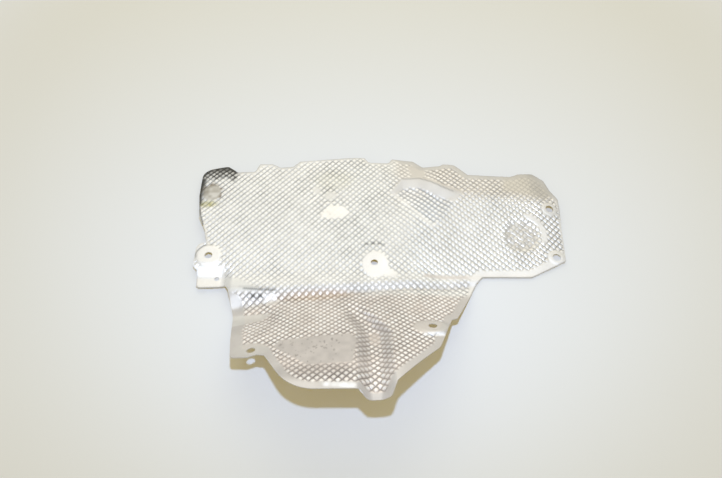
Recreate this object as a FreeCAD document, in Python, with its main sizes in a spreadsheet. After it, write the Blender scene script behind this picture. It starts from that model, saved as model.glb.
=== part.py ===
"""Pressed aluminium heat shield: a flat back panel, a fold with a raised crest, and a front panel that climbs
from the fold to a curved rim with a groove and a nose. The datum is the centre fixing hole: X runs along the
fold, Y away from the rim and Z up, with z = 0 in the middle of the sheet at that hole.
Millimetres and degrees."""
import FreeCAD, Part
import Sketcher
import math
import os

Vector = FreeCAD.Vector

# Driving sizes that stand alone
SIZES = {
    # The sheet and its fixing holes
    "sheet_gauge": 0.8,
    "centre_hole_dia": 7.0,
    "ear_hole_dia": 8.0,
    "tab_hole_dia": 5.0,
    "right_hole_dia": 8.5,
    "front_hole_dia": 8.0,
    "ear_hole_x": -170.5,
    "ear_hole_y": 8.5,
    "tab_hole_x": -160.0,
    "tab_hole_y": -16.5,
    "right_holes_x": 188.7,
    "right_far_hole_y": 69.0,
    "right_near_hole_y": 9.2,
    "front_left_hole_x": -111.5,
    "front_left_hole_y": -119.5,
    "front_right_hole_x": 52.0,
    "front_right_hole_y": -91.5,
    # Rounding of the blank's corners, by group
    "lobe_round": 4.5,
    "shoulder_round": 12.0,
    "rim_round": 48.0,
    # Lines that several corners of the blank share
    "near_edge_y": -14.5,
    "left_edge_x": -190.5,
    "rim_y": -169.0,
    # Wing: the right end of the back panel tips down towards its near edge
    "wing_crease_x": 34.0,
    "wing_crease_lean": 0.33,
    "wing_level_y": 43.0,
    "wing_tip_deg": 7.0,
    "wing_bend": 46.0,
    "wing_fade": 1.0,
    # Ridge along the far right side, and the border that falls away behind it
    "ridge_start_x": 32.0,
    "ridge_start_y": 114.0,
    "ridge_knee_x": 105.0,
    "ridge_knee_y": 88.0,
    "ridge_end_x": 185.0,
    "ridge_end_y": 74.0,
    "far_fall_deg": 13.0,
    "right_fall_x": 172.0,
    "right_fall_deg": 10.0,
    "border_bend": 12.0,
    # Far left corner, pressed down around its outer edge
    "corner_centre_x": -164.0,
    "corner_centre_y": 104.0,
    "corner_flat_radius": 17.0,
    "corner_fall_deg": 16.0,
    # Fold: crest line, valley line and the climb of the front panel
    "crest_left_y": -36.0,
    "crest_right_y": -20.0,
    "crest_left_rise": 4.0,
    "crest_right_rise": 2.5,
    "crest_left_foot": 14.0,
    "crest_right_foot": 6.0,
    "fold_left_x": -148.0,
    "fold_middle_x": -80.0,
    "fold_right_x": 105.0,
    "valley_left_y": -56.0,
    "valley_middle_y": -42.5,
    "valley_right_y": -25.0,
    "valley_fall_deg": 24.0,
    "front_climb_deg": 29.5,
    "fold_bend": 5.0,
    "fold_bend_right": 32.0,
    # Front panel: lip at the rim, groove and nose
    "lip_height": 65.0,
    "lip_flatten": 0.75,
    "groove_x": -1.0,
    "groove_top_y": -42.0,
    "groove_end_y": -176.0,
    "groove_depth": 13.0,
    "groove_top_half": 26.0,
    "groove_end_half": 17.0,
    # Triangular pocket that sinks towards the ridge
    "pocket_left_x": 20.0,
    "pocket_left_y": 111.0,
    "pocket_right_x": 97.0,
    "pocket_right_y": 91.0,
    "pocket_tip_x": 62.0,
    "pocket_tip_y": 41.0,
    "pocket_depth": 7.0,
    "pocket_wall_deg": 24.0,
    # Round dish, and the low tab at the left end
    "dish_x": 155.0,
    "dish_y": 35.5,
    "dish_radius": 18.5,
    "dish_depth": 2.2,
    "dish_wall": 8.0,
    "tab_drop": 6.5,
    "tab_step_y": -8.5,
    "tab_step_run": 14.0,
    "tab_right_x": -149.0,
    # Spacing of the points that carry the pressed surface
    "coarse_pitch": 22.0,
    "fine_pitch": 14.0,
    "trim_margin": 10.0,
    "punch_reach": 12.0,
}

# Corners of the flat blank, clockwise from the top of the ear: x, y and rounding, if any.
# A word is a shared size.
CORNERS = {
    "ear_top": (-174.5, 26.0, None),
    "left_waist": (-178.5, 42.0, "shoulder_round"),
    "left_bulge_near": (-186.5, 59.0, None),
    "left_bulge_far": ("left_edge_x", 90.0, None),
    "left_far": ("left_edge_x", 127.0, "shoulder_round"),
    "corner_lobe": (-163.0, 133.0, "lobe_round"),
    "notch_1_left": (-151.0, 122.0, "lobe_round"),
    "notch_1_right": (-132.0, 122.0, "lobe_round"),
    "lobe_1_left": (-127.0, 133.5, None),
    "lobe_1_right": (-113.0, 133.5, "lobe_round"),
    "notch_2_left": (-104.0, 128.5, "lobe_round"),
    "notch_2_right": (-90.0, 129.5, "lobe_round"),
    "lobe_2_left": (-82.0, 137.5, None),
    "lobe_2_right": (-10.0, 144.5, None),
    "notch_3_left": (-5.0, 136.5, "lobe_round"),
    "notch_3_right": (17.0, 138.0, None),
    "lobe_3_left": (22.0, 146.5, None),
    "lobe_3_right": (46.0, 144.5, "lobe_round"),
    "notch_4_left": (56.0, 131.0, None),
    "notch_4_right": (73.5, 128.5, None),
    "lobe_4_left": (78.0, 131.0, None),
    "lobe_4_right": (90.5, 130.0, "lobe_round"),
    "shelf_left": (104.5, 115.5, None),
    "shelf_right": (151.5, 114.0, "lobe_round"),
    "lobe_5_left": (161.0, 118.5, "lobe_round"),
    "lobe_5_right": (177.0, 120.0, "lobe_round"),
    "right_shoulder": (188.5, 112.0, "lobe_round"),
    "right_step": (193.5, 96.5, None),
    "right_corner": (200.5, 84.5, "lobe_round"),
    "right_near": (198.0, 5.0, "lobe_round"),
    "near_right": (160.0, "near_edge_y", "lobe_round"),
    "near_left": (110.0, "near_edge_y", None),
    "front_right_top": (103.0, -22.5, None),
    "front_right_tab": (77.5, -75.0, None),
    "front_right_notch": (72.0, -77.5, None),
    "front_right_low": (56.5, -119.5, "shoulder_round"),
    "nose_right_root": (17.0, -160.5, None),
    "nose_right_end": (11.5, -175.0, "lobe_round"),
    "nose_left_end": (-8.5, -176.0, "lobe_round"),
    "nose_left_root": (-16.0, "rim_y", None),
    "rim_corner": (-74.0, "rim_y", "rim_round"),
    "front_tab_root": (-99.0, -127.0, None),
    "front_tab_right": (-106.0, -125.5, "lobe_round"),
    "front_tab_near": (-114.0, -128.5, "lobe_round"),
    "front_left_near": (-129.5, -127.5, "lobe_round"),
    "front_left_waist": (-139.5, -58.0, "shoulder_round"),
    "fold_left_end": (-146.0, -34.0, None),
    "tab_right_near": (-150.0, -27.5, None),
    "tab_left_near": (-179.5, -28.5, "lobe_round"),
    "tab_left_far": (-181.0, -8.0, None),
    "ear_left_near": (-185.0, -4.0, None),
    "ear_left_far": (-184.5, 22.0, "shoulder_round"),
}


def fill_sheet(doc):
    """Spreadsheet of all sizes, one aliased cell each, with the blank's corners as name_x and name_y."""
    sheet = doc.addObject("Spreadsheet::Sheet", "size")
    rows = dict(SIZES)
    for name, (x, y, _) in CORNERS.items():
        if not isinstance(x, str):
            rows[name + "_x"] = x
        if not isinstance(y, str):
            rows[name + "_y"] = y
    for number, (alias, value) in enumerate(rows.items(), start=1):
        sheet.set(f"A{number}", alias)
        sheet.set(f"B{number}", str(value))
        sheet.setAlias(f"B{number}", alias)
    doc.recompute()
    return {alias: float(sheet.get(alias)) for alias in rows}


def slope(degrees):
    return math.tan(math.radians(degrees))


def ramp(distance, bend):
    """Zero before a bend line and the distance itself past it, rounded over about the bend's length."""
    return 0.5 * (distance + math.hypot(distance, bend))


def rise(distance, width):
    """0 to 1 across a band of this width centred on zero."""
    share = min(1.0, max(0.0, distance / width + 0.5))
    return share * share * (3.0 - 2.0 * share)


def along(x, knots):
    """Straight runs from knot to knot, held level past the first and the last."""
    if x <= knots[0][0]:
        return knots[0][1]
    for (x0, y0), (x1, y1) in zip(knots, knots[1:]):
        if x <= x1:
            return y0 + (y1 - y0) * (x - x0) / (x1 - x0)
    return knots[-1][1]


def inside(x, y, start, end):
    """Distance to the right of the directed line from start to end."""
    dx = end[0] - start[0]
    dy = end[1] - start[1]
    return ((x - start[0]) * -dy + (y - start[1]) * dx) / -math.hypot(dx, dy)


class PressedForm:
    """Height of the middle of the pressed sheet over its plan, feature by feature."""

    def __init__(self, size):
        self.size = size
        self.datum = 0.0
        self.datum = self.height(0.0, 0.0)

    def wing(self, x, y, past_crest):
        """The crease fades out on the front panel, where its bend widens."""
        s = self.size
        off_level = y - s["wing_level_y"]
        bend = s["wing_bend"] + s["wing_fade"] * past_crest
        tipped = rise(x - s["wing_crease_x"] - s["wing_crease_lean"] * abs(off_level), bend)
        return tipped * slope(s["wing_tip_deg"]) * off_level

    def fallen_borders(self, x, y):
        """Far right border behind the ridge, right border, and the far left corner."""
        s = self.size
        fade_x = s["ridge_start_x"] - (s["ridge_knee_x"] - s["ridge_start_x"])
        fade_y = s["ridge_start_y"] + 1.5 * (s["ridge_start_y"] - s["ridge_knee_y"])
        knots = ((fade_x, fade_y), (s["ridge_start_x"], s["ridge_start_y"]),
                 (s["ridge_knee_x"], s["ridge_knee_y"]), (s["ridge_end_x"], s["ridge_end_y"]))
        fall = slope(s["far_fall_deg"]) * ramp(y - along(x, knots), s["border_bend"])
        to_far = rise(y - s["dish_y"] + s["dish_radius"], 3.0 * s["dish_radius"])
        fall += to_far * slope(s["right_fall_deg"]) * ramp(x - s["right_fall_x"], s["border_bend"])
        flat = s["corner_flat_radius"]
        out = math.hypot(min(0.0, x - s["corner_centre_x"]), max(0.0, y - s["corner_centre_y"]))
        left_end = rise(s["corner_centre_x"] + flat - x, flat)
        near_corner = left_end * rise(y - s["corner_centre_y"] + 2.0 * flat, flat)
        fall += near_corner * slope(s["corner_fall_deg"]) * ramp(out - flat, s["border_bend"])
        return -fall

    def pocket(self, x, y):
        """Three-cornered hollow: level with the panel at its tip, deepest along its far wall."""
        s = self.size
        left = (s["pocket_left_x"], s["pocket_left_y"])
        right = (s["pocket_right_x"], s["pocket_right_y"])
        tip = (s["pocket_tip_x"], s["pocket_tip_y"])
        to_far = inside(x, y, left, right)
        to_sides = min(inside(x, y, right, tip), inside(x, y, tip, left))
        length = inside(*tip, left, right)
        floor = s["pocket_depth"] * (1.0 - to_far / length)
        wall = slope(s["pocket_wall_deg"])
        return -max(0.0, min(floor, wall * to_far, wall * to_sides))

    def dish(self, x, y):
        s = self.size
        out = math.hypot(x - s["dish_x"], y - s["dish_y"]) - s["dish_radius"]
        return -s["dish_depth"] * rise(-out - 0.5 * s["dish_wall"], s["dish_wall"])

    def left_tab(self, x, y):
        s = self.size
        across = rise(s["tab_right_x"] - x, s["tab_step_run"])
        return -s["tab_drop"] * across * rise(s["tab_step_y"] - y, s["tab_step_run"])

    def back_panel(self, x, y, crest_y):
        """Height of the back panel, which past the crest is the height at the crest."""
        on_panel = max(y, crest_y)
        height = self.wing(x, on_panel, on_panel - y) + self.fallen_borders(x, on_panel)
        return height + self.pocket(x, on_panel) + self.dish(x, on_panel)

    def groove(self, x, y):
        s = self.size
        share = (s["groove_top_y"] - y) / (s["groove_top_y"] - s["groove_end_y"])
        share = min(1.0, max(0.0, share))
        half = s["groove_top_half"] + share * (s["groove_end_half"] - s["groove_top_half"])
        across = min(1.0, abs(x - s["groove_x"]) / half)
        return -s["groove_depth"] * math.sin(0.5 * math.pi * share) * 0.5 * (1.0 + math.cos(math.pi * across))

    def height(self, x, y):
        s = self.size
        run = min(1.0, max(0.0, (x - s["fold_left_x"]) / (s["fold_right_x"] - s["fold_left_x"])))
        crest_y = s["crest_left_y"] + run * (s["crest_right_y"] - s["crest_left_y"])
        crest = s["crest_left_rise"] + run * (s["crest_right_rise"] - s["crest_left_rise"])
        foot = s["crest_left_foot"] + run * (s["crest_right_foot"] - s["crest_left_foot"])
        back = self.back_panel(x, y, crest_y)
        if y >= crest_y:
            height = back + crest * math.exp(-((y - crest_y) / foot) ** 2) + self.left_tab(x, y)
            return height - self.datum
        knots = ((s["fold_left_x"], s["valley_left_y"]), (s["fold_middle_x"], s["valley_middle_y"]),
                 (s["fold_right_x"], s["valley_right_y"]))
        valley_y = along(x, knots)
        fold_run = crest_y - valley_y
        bend = s["fold_bend"] + rise(run - 0.85, 0.3) * (s["fold_bend_right"] - s["fold_bend"])
        climb = slope(s["front_climb_deg"]) * (ramp(valley_y - y, bend) - ramp(valley_y - crest_y, bend))
        depth = slope(s["valley_fall_deg"]) * fold_run
        height = back + crest + climb - depth * rise(crest_y - y - 0.5 * fold_run, fold_run)
        height -= s["lip_flatten"] * ramp(height - s["lip_height"], s["fold_bend"])
        return height + self.groove(x, y) + self.left_tab(x, y) - self.datum

    def normal(self, x, y):
        nudge = 0.5 * self.size["sheet_gauge"]
        along_x = self.height(x + nudge, y) - self.height(x - nudge, y)
        along_y = self.height(x, y + nudge) - self.height(x, y - nudge)
        return Vector(-along_x, -along_y, 2.0 * nudge).normalize()


def spread(start, end, pitch):
    """Even steps from start up to, but not including, end, no longer than pitch."""
    count = max(1, math.ceil((end - start) / pitch))
    return [start + (end - start) * step / count for step in range(count)]


def pole_places(breaks):
    """Middles of three breaks in a row: poles there keep a cubic surface even with its plan."""
    padded = [breaks[0]] * 3 + breaks + [breaks[-1]] * 3
    return [sum(padded[index + 1:index + 4]) / 3.0 for index in range(len(breaks) + 2)]


def smooth_skin(poles, x_breaks, y_breaks):
    """Cubic surface that follows a net of poles and rounds off its corners, as a press does."""
    counts = [[4] + [1] * (len(breaks) - 2) + [4] for breaks in (x_breaks, y_breaks)]
    surface = Part.BSplineSurface()
    surface.buildFromPolesMultsKnots(poles, counts[0], counts[1], x_breaks, y_breaks, False, False, 3, 3)
    return surface


def pressed_slab(size, form, corners):
    """Sheet of even gauge on the pressed form, reaching past the blank on all sides."""
    margin = size["trim_margin"]
    coarse = size["coarse_pitch"]
    fine = size["fine_pitch"]
    left = min(x for x, _ in corners) - margin
    right = max(x for x, _ in corners) + margin
    near = min(y for _, y in corners) - margin
    far = max(y for _, y in corners) + margin
    groove_left = size["groove_x"] - size["groove_top_half"]
    groove_right = size["groove_x"] + size["groove_top_half"]
    dish_left = size["dish_x"] - size["dish_radius"]
    dish_right = size["dish_x"] + size["dish_radius"]
    tab_right = size["tab_right_x"] + size["tab_step_run"]
    x_breaks = spread(left, tab_right, fine) + spread(tab_right, groove_left, coarse)
    x_breaks += spread(groove_left, groove_right, fine) + spread(groove_right, dish_left, 1.3 * fine)
    x_breaks += spread(dish_left, dish_right, fine) + spread(dish_right, right, coarse) + [right]
    fold_near = size["valley_left_y"] - fine
    fold_far = size["crest_right_y"] + size["crest_right_foot"]
    dish_far = size["dish_y"] + size["dish_radius"]
    y_breaks = spread(near, fold_near, coarse) + spread(fold_near, fold_far, 0.8 * fine)
    y_breaks += spread(fold_far, dish_far, fine) + spread(dish_far, far, fine) + [far]
    skins = []
    for side in (-0.5, 0.5):
        poles = []
        for x in pole_places(x_breaks):
            line = []
            for y in pole_places(y_breaks):
                upright = size["sheet_gauge"] / form.normal(x, y).z
                line.append(Vector(x, y, form.height(x, y) + side * upright))
            poles.append(line)
        skins.append(smooth_skin(poles, x_breaks, y_breaks))
    below, above = skins
    walls = []
    for at_start in (True, False):
        for iso in ("uIso", "vIso"):
            first, last = (below.bounds()[0:2] if iso == "uIso" else below.bounds()[2:4])
            at_below = getattr(below, iso)(first if at_start else last)
            at_above = getattr(above, iso)(first if at_start else last)
            walls.append(Part.makeRuledSurface(at_below.toShape(), at_above.toShape()))
    shell = Part.makeShell([below.toShape(), above.toShape()] + walls)
    shell.sewShape()
    slab = Part.makeSolid(shell)
    slab.fix(1e-6, 1e-6, 1e-6)
    return slab


def blank_body(doc, corners):
    """Prism of the blank's outline with sharp corners: a sketch of straight sides, padded."""
    body = doc.addObject("PartDesign::Body", "blank")
    plane = next(item for item in body.Origin.OriginFeatures if item.Role == "XY_Plane")
    sketch = body.newObject("Sketcher::SketchObject", "blank_outline")
    sketch.AttachmentSupport = [(plane, "")]
    sketch.MapMode = "FlatFace"
    count = len(corners)
    for index, (x, y) in enumerate(corners):
        x1, y1 = corners[(index + 1) % count]
        sketch.addGeometry(Part.LineSegment(Vector(x, y, 0), Vector(x1, y1, 0)), False)
    joined = [Sketcher.Constraint("Coincident", index, 2, (index + 1) % count, 1) for index in range(count)]
    sketch.addConstraint(joined)
    for index, (name, (x_size, y_size, _)) in enumerate(CORNERS.items()):
        x, y = corners[index]
        for kind, value, shared, ending in (("DistanceX", x, x_size, "_x"), ("DistanceY", y, y_size, "_y")):
            number = sketch.addConstraint(Sketcher.Constraint(kind, -1, 1, index, 1, value))
            alias = shared if isinstance(shared, str) else name + ending
            sketch.setExpression(f"Constraints[{number}]", f"size.{alias}")
    pad = body.newObject("PartDesign::Pad", "blank_prism")
    pad.Profile = sketch
    pad.setExpression("Length", "2 * (size.lip_height + size.trim_margin)")
    body.setExpression("Placement.Base.z", "-size.lip_height - size.trim_margin")
    body.Tip = pad
    doc.recompute()
    return body


def rounded_blank(doc, size, body, corners):
    """The blank with rounded corners: the group's radius, or what the shorter side leaves room for."""
    wanted = []
    for index, (_, _, group) in enumerate(CORNERS.values()):
        if group is None:
            continue
        here = Vector(*corners[index], 0)
        back = Vector(*corners[index - 1], 0) - here
        ahead = Vector(*corners[(index + 1) % len(corners)], 0) - here
        room = 0.45 * min(back.Length, ahead.Length) * math.tan(0.5 * back.getAngle(ahead))
        wanted.append((here, min(size[group], room)))
    edges = []
    for number, edge in enumerate(body.Shape.Edges, start=1):
        start, end = edge.Vertexes[0].Point, edge.Vertexes[-1].Point
        if math.hypot(start.x - end.x, start.y - end.y) > 1e-6:
            continue
        for here, radius in wanted:
            if math.hypot(start.x - here.x, start.y - here.y) < 1e-4:
                edges.append((number, radius, radius))
    blank = doc.addObject("Part::Fillet", "rounded_blank")
    blank.Base = body
    blank.Edges = edges
    doc.recompute()
    return blank


def hole_punch(doc, size, skin_height, name, dia, place, axis):
    """Round punch through the sheet at one place, along its own axis."""
    punch = doc.addObject("Part::Cylinder", name + "_punch")
    punch.setExpression("Radius", f"size.{dia} / 2")
    punch.setExpression("Height", "2 * size.punch_reach")
    x, y = place
    foot = Vector(x, y, skin_height(x, y)) - axis * size["punch_reach"]
    punch.Placement = FreeCAD.Placement(foot, FreeCAD.Rotation(Vector(0, 0, 1), axis))
    return punch


def main():
    doc = FreeCAD.newDocument("heat_shield")
    size = fill_sheet(doc)
    corners = []
    for name, (x, y, _) in CORNERS.items():
        corner_x = size[x if isinstance(x, str) else name + "_x"]
        corner_y = size[y if isinstance(y, str) else name + "_y"]
        corners.append((corner_x, corner_y))
    form = PressedForm(size)
    slab = doc.addObject("Part::Feature", "pressed_slab")
    slab.Shape = pressed_slab(size, form, corners)
    blank = rounded_blank(doc, size, blank_body(doc, corners), corners)
    trimmed = doc.addObject("Part::Common", "trimmed_sheet")
    trimmed.Base = slab
    trimmed.Tool = blank
    doc.recompute()

    # Punches: upright on the level pads, square to the sheet on the front panel
    up = Vector(0, 0, 1)
    right_x = size["right_holes_x"]
    ear = (size["ear_hole_x"], size["ear_hole_y"])
    tab = (size["tab_hole_x"], size["tab_hole_y"])
    front_left = (size["front_left_hole_x"], size["front_left_hole_y"])
    front_right = (size["front_right_hole_x"], size["front_right_hole_y"])
    holes = (
        ("centre", "centre_hole_dia", (0.0, 0.0), up),
        ("ear", "ear_hole_dia", ear, up),
        ("tab", "tab_hole_dia", tab, up),
        ("right_far", "right_hole_dia", (right_x, size["right_far_hole_y"]), up),
        ("right_near", "right_hole_dia", (right_x, size["right_near_hole_y"]), up),
        ("front_left", "front_hole_dia", front_left, form.normal(*front_left)),
        ("front_right", "front_hole_dia", front_right, form.normal(*front_right)),
    )
    punches = doc.addObject("Part::MultiFuse", "punches")
    punches.Shapes = [hole_punch(doc, size, form.height, *hole) for hole in holes]
    shield = doc.addObject("Part::Cut", "heat_shield")
    shield.Label = "heat_shield"
    shield.Base = trimmed
    shield.Tool = punches
    doc.recompute()

    for item in doc.Objects:
        if "Invalid" in item.State or "Error" in item.State:
            raise RuntimeError(f"{item.Name} did not build")
    if shield.Shape.isNull() or not shield.Shape.isValid() or len(shield.Shape.Solids) != 1:
        raise RuntimeError("the shield is not one sound solid")
    os.makedirs("parts", exist_ok=True)
    shield.Shape.exportStep(f"parts/{shield.Label}.step")


main()
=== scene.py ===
"""Dresses the heat shield: its crisp pressed form, embossed rows, smooth pads, scuffs and soot."""
import math

import bpy
import numpy as np
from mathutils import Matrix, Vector, geometry
from mathutils.kdtree import KDTree


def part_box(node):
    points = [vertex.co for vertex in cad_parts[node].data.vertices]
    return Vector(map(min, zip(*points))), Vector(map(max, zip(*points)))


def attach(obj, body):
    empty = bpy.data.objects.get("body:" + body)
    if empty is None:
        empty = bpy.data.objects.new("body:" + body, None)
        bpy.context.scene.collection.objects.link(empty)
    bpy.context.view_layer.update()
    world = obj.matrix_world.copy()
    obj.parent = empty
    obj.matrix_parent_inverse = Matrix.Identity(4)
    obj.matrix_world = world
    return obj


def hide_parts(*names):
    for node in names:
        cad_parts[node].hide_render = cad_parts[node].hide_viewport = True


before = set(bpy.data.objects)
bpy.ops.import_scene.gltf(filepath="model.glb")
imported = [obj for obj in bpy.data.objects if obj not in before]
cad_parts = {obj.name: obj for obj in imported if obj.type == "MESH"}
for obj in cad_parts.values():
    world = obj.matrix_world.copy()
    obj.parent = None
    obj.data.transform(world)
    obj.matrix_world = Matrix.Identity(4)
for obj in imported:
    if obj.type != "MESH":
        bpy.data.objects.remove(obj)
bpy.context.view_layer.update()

# Lengths are millimetres from the centre hole until the mesh is made, and falls and climbs are degrees
MM = 0.001
GAUGE = 0.8
PITCH = 4.95
TURN = math.radians(48.0)
EMBOSSING = {"Pitch": PITCH * MM, "Depth": 0.9 * MM, "Turn": TURN, "Sharpness": 0.7, "Middle": 0.62}

# Mesh points to a pitch on the upper and on the lower skin, and the distance between points along an edge
FINE, COARSE = 4, 2
EDGE_STEP = 1.5
SHARP_EDGE = math.radians(62.0)

# Holes and round pressings
EAR = (-170.5, 8.5)
CENTRE = (0.0, -1.5)
RIGHT_HOLES = ((188.7, 69.0), (188.7, 9.2))
FRONT_RIGHT = (52.0, -91.5)
CORNER_PAD = (-177.0, 93.0)
DISH = (155.0, 35.5)
DISH_SIZE = (18.0, 18.0)
DISH_DEPTH, DISH_LUMPS = 1.8, 1.1
EAR_LIFT, CENTRE_LIFT, COLLAR_LIFT = 0.9, 0.5, 0.8
LIP_LIFT, LIP_TILT = 2.4, 0.13

# Pocket: its far edge from left to right, its near corner, and its falls
POCKET_FAR = ((20.0, 93.0), (32.0, 111.0), (40.0, 113.0), (50.0, 111.0), (61.0, 104.0), (73.0, 95.5),
              (93.0, 85.0))
POCKET_TIP = (62.0, 41.0)
POCKET_DEPTH, POCKET_LENGTH = 5.5, 62.0
POCKET_FAR_FALL, POCKET_SIDE_FALL = 17.0, 18.0
POCKET_PLAIN = 11.0

# Back panel: the wing turns about a level line, and the borders fall away past their bend lines
WING_LEVEL, WING_START, WING_LEAN, WING_BEND, WING_TIP = 43.0, 34.0, 0.33, 44.0, 7.0
RIDGE = ((-41.0, 153.0), (32.0, 114.0), (105.0, 88.0), (185.0, 74.0))
BORDER_FALL = 13.0
RIGHT_BEND, RIGHT_FALL = 172.0, 10.0
FAR_LEFT = (-164.0, 104.0)
FAR_LEFT_FLAT, FAR_LEFT_FALL = 17.0, 16.0
TAB_STEP = 6.5

# Fold: its two ends, its crest and its valley, and the front panel that climbs from the valley
FOLD = (-148.0, 105.0)
CREST_START, CREST_SHIFT = -36.0, 16.0
VALLEY = ((FOLD[0], -56.0), (-80.0, -42.5), (FOLD[1], -25.0))
CREST_HEIGHT, CREST_LOSS = 4.0, 1.5
CREST_FOOT, FOOT_LOSS = 14.0, 8.0
VALLEY_BEND, VALLEY_EASE = 6.0, 24.0
VALLEY_FALL, FRONT_CLIMB = 24.0, 29.5
RIM_LEVEL, RIM_LOSS = 65.0, 0.75

# Groove, by Y: the X of its bottom, half its width and its depth
GROOVE_MIDDLE = ((-176.0, -0.5), (-98.0, -1.5), (-76.0, -12.5), (-58.0, -23.0))
GROOVE_HALF = ((-176.0, 18.0), (-98.0, 19.0), (-60.0, 14.0))
GROOVE_DEPTH = ((-176.0, 10.0), (-150.0, 9.5), (-98.0, 8.5), (-76.0, 5.5), (-52.0, 0.0))

# Random fields: size of their lumps, and seed
FIELDS = {
    "lumps": (11.0, 1),
    "patches": (26.0, 2),
    "dish_floor": (3.4, 3),
    "dish_stain": (2.6, 4),
    "margin": (9.0, 5),
    "scuff": (3.0, 6),
    "soot": (5.0, 7),
    "specks": (2.2, 8),
    "burn": (3.5, 9),
    "olive": (3.0, 10),
    "rim_shine": (3.0, 11),
    "corner_pad": (3.5, 12),
    "front_pad": (5.0, 13),
    "crowns": (5.5, 14),
    "spots": (6.5, 15),
}

# Depth of the two families of embossed lines, by X, which also sets how dark the painted shade in their grooves
# is
ROWS_LEFT = ((-190.0, 0.38), (-140.0, 0.45), (-60.0, 0.65), (0.0, 0.85), (60.0, 1.0))
ROWS_RIGHT = ((-190.0, 1.0), (0.0, 0.95), (40.0, 0.65), (110.0, 0.65), (170.0, 0.8))

# Width of the smooth margin along the edge, and what each region adds to it
MARGIN, MARGIN_RAGGED = 1.5, 1.6
MARGIN_MORE = {"far_edge": 1.0, "front": 5.5, "far_right": 3.5, "near_strip": 7.0, "front_left": 4.0}

# Regions: the sides that they lie past, each with the way it looks, its place and its soft width
REGIONS = {
    "front": (("-Y", -40.0, 10.0),),
    "front_left": (("-Y", -40.0, 10.0), ("-X", -95.0, 20.0)),
    "far_edge": (("+Y", 100.0, 20.0),),
    "far_band": (("+Y", 75.0, 30.0),),
    "far_rim": (("+Y", 60.0, 20.0),),
    "far_right": (("+X", 25.0, 20.0), ("+Y", 82.0, 20.0)),
    "near_strip": (("+X", 95.0, 10.0), ("-Y", 8.0, 10.0)),
    "right_border": (("+X", 177.0, 8.0), ("-Y", 78.0, 10.0)),
    "wing": (("+X", 60.0, 40.0), ("+Y", 0.0, 20.0)),
    "tab": (("-X", -152.0, 3.0), ("-Y", -3.0, 3.0)),
    "nose": (("-Y", -168.0, 4.0),),
    "nose_light": (("-Y", -158.0, 10.0),),
}

# Round marks: centre, radii, soft edge and, where it isn't level, turn
ROUNDS = {
    "centre_round": ((1.2, -2.5), (13.5, 16.5), 2.5),
    "centre_tail": ((14.0, -12.0), (10.0, 5.0), 3.0, -25.0),
    "ear_pad": (EAR, (13.0, 13.5), 2.5),
    "corner_pad": (CORNER_PAD, (9.5, 11.0), 3.0),
    "far_collar": (RIGHT_HOLES[0], (8.5, 8.5), 2.5),
    "near_collar": (RIGHT_HOLES[1], (9.5, 9.5), 2.5),
    "front_tab": ((-112.0, -119.0), (17.0, 9.0), 3.0),
    "right_pad": ((51.0, -92.0), (16.5, 10.0), 3.0),
    "dish": (DISH, DISH_SIZE, 3.0),
    "groove_floor": ((-1.0, -104.0), (5.0, 8.0), 4.0),
    "mouth": ((0.0, -146.0), (21.0, 17.0), 10.0),
    "hatch": ((-121.0, -50.0), (12.0, 13.0), 6.0),
    "dull": ((-47.0, 87.5), (7.0, 6.0), 3.0),
    "dull_end": ((-62.0, 95.0), (4.0, 5.0), 3.0),
    "near_rim": ((-52.0, -140.0), (46.0, 13.0), 10.0),
    "rim_shade": ((-52.0, -151.0), (42.0, 9.0), 8.0),
    "worn": ((-52.0, -116.0), (24.0, 11.0), 8.0),
    "heat": ((-59.0, -40.0), (38.0, 6.0), 6.0, 3.0),
    "olive": ((-180.0, 77.0), (10.0, 4.5), 5.0),
    "stain": ((-44.0, 110.0), (20.0, 14.0), 14.0),
}

# Marks with straight sides: corners clockwise, and soft edge
SIDED = {
    "far_corner": ([(143.0, 120.0), (176.0, 126.0), (196.0, 92.0), (186.0, 82.0), (142.0, 92.0)], 10.0),
    "far_patch": ([(40.0, 136.0), (58.0, 133.0), (57.0, 113.0), (43.0, 115.0)], 3.0),
    "front_pad": ([(-92.0, -117.0), (-87.0, -108.0), (-24.0, -100.5), (-17.0, -109.0), (-21.0, -140.5),
                   (-60.0, -142.0)], 3.0),
    "wedge": ([(-153.0, -9.0), (-134.0, -21.5), (-93.0, -32.5), (-93.0, -35.5), (-148.0, -37.0)], 2.5),
    "strip": ([(-143.0, -58.0), (-112.0, -62.0), (-99.0, -62.0), (-108.0, -72.0), (-122.0, -77.0),
               (-142.0, -82.0)], 3.0),
}

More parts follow.
